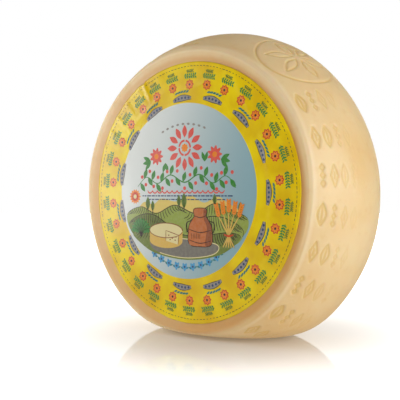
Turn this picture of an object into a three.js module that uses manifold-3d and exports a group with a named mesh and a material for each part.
// A wheel of soft pressed cheese, standing on its edge, with a round film label on one face.
// Millimetres, +Z up. The wheel's axis lies along Y, and the labelled face looks along -Y.
// The origin is on the surface it stands on, under the middle of the wheel.
import * as THREE from 'three';
import { mergeVertices } from 'three/addons/utils/BufferGeometryUtils.js';
import Module from 'manifold-3d';

// The wheel.
const BELLY_RADIUS = 175.8;      // of the side, at mid thickness
const THICKNESS = 136;           // from face to face
const FLAT_FACE_RADIUS = 139;    // the face is flat out to here
const MARGIN_END = 149;          // where the margin meets the rounded edge
const MARGIN_SAG = 1.4;          // how far the margin drops between the flat face and the edge
const EDGE_ROUNDING = 6;         // radius of the edge between the margin and the side
const SIDE_TILT = 53;            // degrees between the face's direction and the side's, where the edge ends
const AXIS_HEIGHT = 150.2;       // the axis above the surface, after the cheese has settled
const FACE_LIFT = 3.2;           // both faces stay this much higher than the belly's centre
const SAG_LEVEL = -1.1;          // the settled underside tends to this level, and z = 0 trims it flat
const SAG_SOFTNESS = 8.9;        // how gently the side turns into the settled underside
const TRIM_DEPTH = 40;           // the block that trims the flat spot
const UNEVEN = 0.45;             // height of the slow waves that hand work leaves in the side

// How finely the round forms are faceted.
const AROUND = 80;
const SIDE_STEPS = 10;
const MARGIN_STEPS = 2;
const EDGE_STEPS = 3;
const LEAF_STEPS = 5;            // on each of a leaf's two arcs
const LOZENGE_STEPS = 2;
const EMBLEM_SIDES = 32;
const MERGE_DISTANCE = 1e-4;     // points of a drawn shape closer than this are one point

// Marks that the mould's band pressed into the side: grooves of one depth.
const GROOVE_DEPTH = 1.1;
const GROOVE_WIDTH = 2.2;
const TIP_WIDTHS = 3.2;          // groove widths that an outline loses in length, at its two tips together
const MARK_LENGTH = 23;          // round the wheel
const MARK_WIDTH = 9;            // across the side
const MARK_PITCH = 11;           // from mark to mark along a row
const MARKS_IN_ROW = 2;
const FIRST_MARK_Y = -56.5;      // the row starts close to the labelled face
const GRAINS = [-1, 0, 1];       // places of the small lozenges of an ear of grain
const GRAIN_GAP = 1;
const ROW_PITCH = 13.5;          // degrees from row to row
const ROW_RUNS = [[57, 8], [210, 12]];   // first angle and number of rows; 0 degrees is the top
const EMBLEM_ANGLE = 37;
const EMBLEM_Y = -20;            // its centre is nearer to the labelled face
const EMBLEM_RADIUS = 41.4;
const EMBLEM_GROOVE = 2.8;
const PETALS = 6;
const PETAL_LENGTH = 28;
const PETAL_WIDTH = 12;
const PETAL_START = 5;           // how far from the emblem's centre its petals begin
const CUTTER_INSIDE = 30;        // how far a cutter reaches in and out of the belly's radius
const CUTTER_OUTSIDE = 8;

// The label.
const LABEL_RADIUS = 136;
const LABEL_THICKNESS = 0.6;
const LABEL_GAP = 0.3;
const LABEL_X = 3.8;             // its centre, from the wheel's axis
const LABEL_Z = 2.7;
const LABEL_SIDES = 96;

const { sin, cos, PI, log, exp, abs } = Math;
const { degToRad, smoothstep } = THREE.MathUtils;
const wasm = await Module();
wasm.setup();

function toSolid(geometry) {
  geometry.deleteAttribute('normal');
  geometry.deleteAttribute('uv');
  const merged = mergeVertices(geometry, MERGE_DISTANCE);
  const index = merged.index.array;
  const triangles = [];
  for (let i = 0; i < index.length; i += 3) {
    const [a, b, c] = [index[i], index[i + 1], index[i + 2]];
    if (a !== b && b !== c && c !== a) triangles.push(a, b, c);
  }
  const mesh = new wasm.Mesh({
    numProp: 3,
    vertProperties: new Float32Array(merged.attributes.position.array),
    triVerts: new Uint32Array(triangles),
  });
  return new wasm.Manifold(mesh);
}

function toGeometry(solid) {
  const mesh = solid.getMesh();
  const geometry = new THREE.BufferGeometry();
  geometry.setAttribute('position', new THREE.BufferAttribute(mesh.vertProperties, 3));
  geometry.setIndex(new THREE.BufferAttribute(mesh.triVerts, 1));
  geometry.computeVertexNormals();
  return geometry;
}

// The wheel's profile from the middle of the labelled face to the middle of the other, as
// (radius, place along the axis). It is `inset` smaller all over for the floor of the grooves.
function wheelProfile(inset) {
  const half = THICKNESS / 2 - inset;
  const marginWidth = MARGIN_END - inset - FLAT_FACE_RADIUS;
  const face = [];
  for (let i = 0; i <= MARGIN_STEPS; i++) {
    const share = i / MARGIN_STEPS;
    face.push([FLAT_FACE_RADIUS + share * marginWidth, half - MARGIN_SAG * share * share]);
  }
  const marginTilt = Math.atan(2 * MARGIN_SAG / marginWidth);
  const centreRadius = MARGIN_END - inset - EDGE_ROUNDING * sin(marginTilt);
  const centreY = half - MARGIN_SAG - EDGE_ROUNDING * cos(marginTilt);
  for (let i = 1; i <= EDGE_STEPS; i++) {
    const tilt = THREE.MathUtils.lerp(marginTilt, degToRad(SIDE_TILT), i / EDGE_STEPS);
    face.push([centreRadius + EDGE_ROUNDING * sin(tilt), centreY + EDGE_ROUNDING * cos(tilt)]);
  }
  const [edgeRadius, edgeY] = face.at(-1);
  const belly = BELLY_RADIUS - inset - edgeRadius;
  const points = [new THREE.Vector2(0, -half)];
  for (const [radius, y] of face) points.push(new THREE.Vector2(radius, -y));
  for (let i = 1; i < SIDE_STEPS; i++) {
    const share = 2 * i / SIDE_STEPS - 1;
    points.push(new THREE.Vector2(edgeRadius + belly * (1 - share * share), edgeY * share));
  }
  for (const [radius, y] of face.reverse()) points.push(new THREE.Vector2(radius, y));
  points.push(new THREE.Vector2(0, half));
  return points;
}

// Slow waves round and across the side.
function unevenness(angle, y) {
  return UNEVEN * (sin(2 * angle + 0.7) + 0.8 * sin(3 * angle + y / 45) + 0.5 * sin(5 * angle - y / 30));
}

// The weight of the cheese presses its underside towards the surface.
function settled(z) {
  return SAG_LEVEL + SAG_SOFTNESS * log(1 + exp((z - SAG_LEVEL) / SAG_SOFTNESS));
}

function wheelBody(inset) {
  const geometry = new THREE.LatheGeometry(wheelProfile(inset), AROUND);
  const place = geometry.attributes.position;
  for (let i = 0; i < place.count; i++) {
    const [x, y, z] = [place.getX(i), place.getY(i), place.getZ(i)];
    const radius = Math.hypot(x, z);
    const angle = Math.atan2(x, z);
    const onSide = smoothstep(radius, FLAT_FACE_RADIUS, MARGIN_END);
    const grown = radius + onSide * unevenness(angle, y);
    const towardsFace = abs(y) / (THICKNESS / 2);
    const raised = AXIS_HEIGHT + FACE_LIFT * towardsFace * towardsFace + grown * cos(angle);
    place.setXYZ(i, grown * sin(angle), y, settled(raised));
  }
  return toSolid(geometry);
}

// The block under the surface, which trims the wheel's flat spot.
function underSurface() {
  const width = 4 * BELLY_RADIUS;
  const block = new THREE.BoxGeometry(width, width, TRIM_DEPTH);
  block.translate(0, 0, -TRIM_DEPTH / 2);
  return toSolid(block);
}

// A long leaf-like outline: two arcs that meet in points, `length` along x and `width` along y.
function leafOutline(length, width, steps) {
  const points = [];
  for (let side = 1; side >= -1; side -= 2) {
    for (let i = 0; i < steps; i++) {
      const share = i / steps;
      const x = side * length * (0.5 - share);
      points.push(new THREE.Vector2(x, side * (width / 2) * sin(PI * share)));
    }
  }
  return points;
}

// A leaf or lozenge with a smaller one inside it, so that a groove of even width runs round it.
function groovedShape(length, width, steps) {
  const outline = leafOutline(length, width, steps);
  const shape = new THREE.Shape(outline);
  const alongScale = (length - TIP_WIDTHS * GROOVE_WIDTH) / length;
  const acrossScale = (width - 2 * GROOVE_WIDTH) / width;
  const inner = outline.map((p) => new THREE.Vector2(p.x * alongScale, p.y * acrossScale));
  shape.holes.push(new THREE.Path(inner));
  return shape;
}

const leafMark = () => [groovedShape(MARK_LENGTH, MARK_WIDTH, LEAF_STEPS)];

const lozengeMark = () => [groovedShape(MARK_LENGTH, MARK_WIDTH, LOZENGE_STEPS)];

// Three small lozenges in a line.
function earMark() {
  const grain = MARK_LENGTH / GRAINS.length;
  return GRAINS.map((place) => {
    const outline = leafOutline(grain - GRAIN_GAP, MARK_WIDTH / 2, LOZENGE_STEPS);
    return new THREE.Shape(outline.map((p) => new THREE.Vector2(p.x + place * grain, p.y)));
  });
}

// A cutter stands on the side: x runs round the wheel, y across the side and z out of it.
function cutterAt(shape, angleDegrees, y) {
  const depth = CUTTER_INSIDE + CUTTER_OUTSIDE;
  const geometry = new THREE.ExtrudeGeometry(shape, { depth, bevelEnabled: false, curveSegments: 1 });
  geometry.translate(0, 0, BELLY_RADIUS - CUTTER_INSIDE);
  geometry.rotateY(degToRad(angleDegrees));
  geometry.translate(0, y, AXIS_HEIGHT);
  return toSolid(geometry);
}

function circlePoints(radius) {
  const points = [];
  for (let i = 0; i < EMBLEM_SIDES; i++) {
    const turn = (2 * PI * i) / EMBLEM_SIDES;
    points.push(new THREE.Vector2(radius * cos(turn), radius * sin(turn)));
  }
  return points;
}

// A ring round a rosette of six petals.
function emblemShapes() {
  const ring = new THREE.Shape(circlePoints(EMBLEM_RADIUS));
  ring.holes.push(new THREE.Path(circlePoints(EMBLEM_RADIUS - EMBLEM_GROOVE)));
  const shapes = [ring];
  for (let i = 0; i < PETALS; i++) {
    const petal = groovedShape(PETAL_LENGTH, PETAL_WIDTH, LEAF_STEPS);
    const turn = (2 * PI * i) / PETALS;
    const centre = new THREE.Vector2(PETAL_LENGTH / 2 + PETAL_START, 0);
    const origin = new THREE.Vector2();
    const moved = (points) => points.map((p) => p.clone().add(centre).rotateAround(origin, turn));
    const shape = new THREE.Shape(moved(petal.getPoints(1)));
    shape.holes.push(new THREE.Path(moved(petal.holes[0].getPoints(1))));
    shapes.push(shape);
  }
  return shapes;
}

function grooveCutters() {
  const cutters = [];
  const motifs = [leafMark, lozengeMark, earMark];
  ROW_RUNS.forEach(([firstAngle, rows]) => {
    for (let row = 0; row < rows; row++) {
      for (let mark = 0; mark < MARKS_IN_ROW; mark++) {
        const motif = motifs[(row + 2 * mark) % motifs.length];
        const y = FIRST_MARK_Y + mark * MARK_PITCH;
        for (const shape of motif()) cutters.push(cutterAt(shape, firstAngle + row * ROW_PITCH, y));
      }
    }
  });
  for (const shape of emblemShapes()) cutters.push(cutterAt(shape, EMBLEM_ANGLE, EMBLEM_Y));
  return cutters.reduce((all, cutter) => all.add(cutter));
}

function cheeseWheel() {
  const grooves = grooveCutters().subtract(wheelBody(GROOVE_DEPTH));
  const solid = wheelBody(0).subtract(grooves).subtract(underSurface());
  const rind = new THREE.MeshStandardMaterial({ color: 0xe9cf9f, roughness: 0.5, metalness: 0 });
  const mesh = new THREE.Mesh(toGeometry(solid), rind);
  mesh.name = 'cheese_wheel';
  return mesh;
}

function faceLabel() {
  const geometry = new THREE.CylinderGeometry(LABEL_RADIUS, LABEL_RADIUS, LABEL_THICKNESS, LABEL_SIDES);
  const film = new THREE.MeshStandardMaterial({ color: 0xd8b50f, roughness: 0.35, metalness: 0 });
  const mesh = new THREE.Mesh(toGeometry(toSolid(geometry)), film);
  mesh.name = 'face_label';
  mesh.position.set(LABEL_X, -(THICKNESS / 2 + LABEL_GAP + LABEL_THICKNESS / 2), AXIS_HEIGHT + LABEL_Z);
  return mesh;
}

const cheese = new THREE.Group();
cheese.add(cheeseWheel(), faceLabel());
export default cheese;
